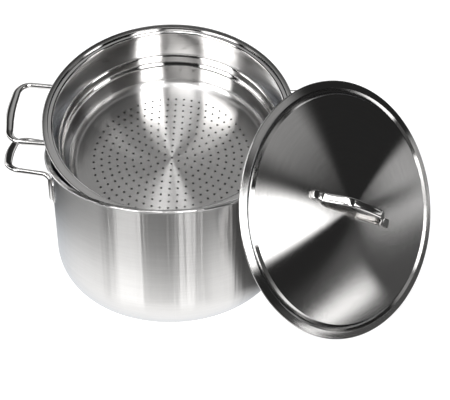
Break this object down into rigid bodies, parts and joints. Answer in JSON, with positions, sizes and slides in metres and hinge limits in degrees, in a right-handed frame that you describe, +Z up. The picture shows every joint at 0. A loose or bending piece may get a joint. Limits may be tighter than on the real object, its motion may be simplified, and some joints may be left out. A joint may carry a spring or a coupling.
{
  "type": "water bath canner",
  "caption": "Stainless steel stock pot with a stepped perforated insert propped in its mouth and a domed lid leaning against its side.",
  "frame": {"origin": "centre of the flat underside of the pot's base, where it rests", "axes": "+Z up along the pot axis, -Y towards the viewer, +X towards the side where the lid leans"},
  "size_m": [0.5535, 0.3404, 0.3082],
  "materials": {
    "brushed_steel": "circumferential brushed, bright",
    "satin_steel": "polished wall with spun satin floor",
    "lid_steel": "spun radial sheen, semi-polished",
    "polished_steel": "mirror polished",
    "aluminium_core": "mill"
  },
  "bodies": {
    "pot": {"pot_shell": "brushed_steel", "pot_base_core": "aluminium_core", "pot_base_cap": "brushed_steel", "pot_handle_left": "polished_steel", "pot_handle_right": "polished_steel", "pot_plate_left_front": "polished_steel", "pot_plate_left_rear": "polished_steel", "pot_plate_right_front": "polished_steel", "pot_plate_right_rear": "polished_steel"},
    "insert": {"insert_shell": "satin_steel", "insert_handle_left": "polished_steel", "insert_handle_right": "polished_steel", "insert_plate_left_front": "polished_steel", "insert_plate_left_rear": "polished_steel", "insert_plate_right_front": "polished_steel", "insert_plate_right_rear": "polished_steel"},
    "lid": {"lid_shell": "lid_steel", "lid_handle": "polished_steel", "lid_pad_left": "polished_steel", "lid_pad_right": "polished_steel"}
  },
  "joints": [
    {"name": "insert_lift", "type": "slide", "parent": "pot", "child": "insert", "axis": [0, -0.342, 0.9397], "range_m": [0, 0.15]},
    {"name": "lid_lift", "type": "slide", "parent": "insert", "child": "lid", "axis": [0.5935, -0.678, 0.4337], "range_m": [0, 0.2]}
  ]
}
